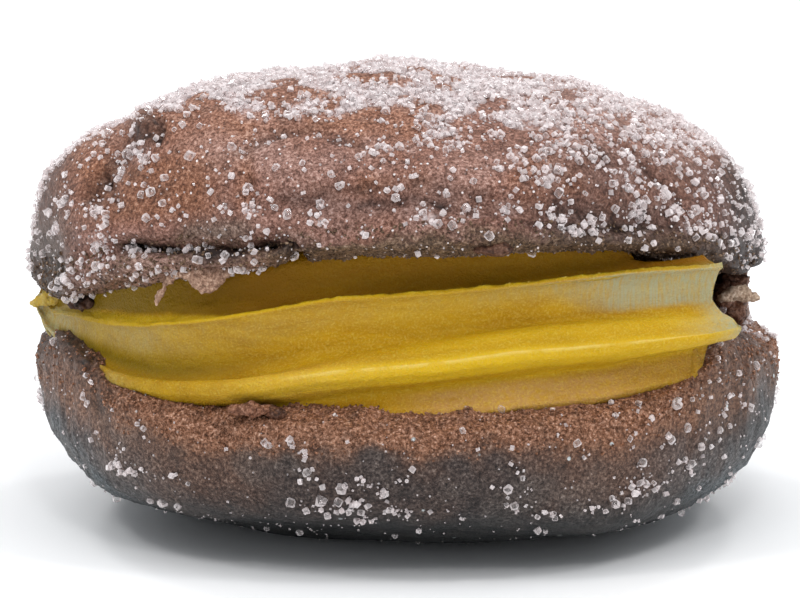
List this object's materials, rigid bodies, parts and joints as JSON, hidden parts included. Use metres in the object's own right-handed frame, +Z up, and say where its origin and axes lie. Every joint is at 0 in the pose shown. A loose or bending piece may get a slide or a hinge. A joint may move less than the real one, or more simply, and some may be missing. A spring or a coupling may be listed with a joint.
{
  "type": "custard filled doughnut",
  "caption": "Round fried bun cut open from the front, with a star-piped rope of yellow custard in the cut and coarse sugar on its crust.",
  "frame": {"origin": "under the middle of the bun, on the surface it stands on", "axes": "+Z up, -Y the open front of the cut, +X along the custard rope towards its blunt right end"},
  "size_m": [0.086, 0.0818, 0.0535],
  "materials": {
    "crust": "stands for a dry fried dough crust with grains of sugar fused to it",
    "custard": "stands for smooth, slightly wet set custard",
    "crumb": "stands for the torn inner crumb at the lip and the ends of the cut",
    "sugar": "stands for clear coarse sugar crystals"
  },
  "bodies": {
    "root": {"dough": "crust", "filling": "custard"}
  },
  "joints": []
}
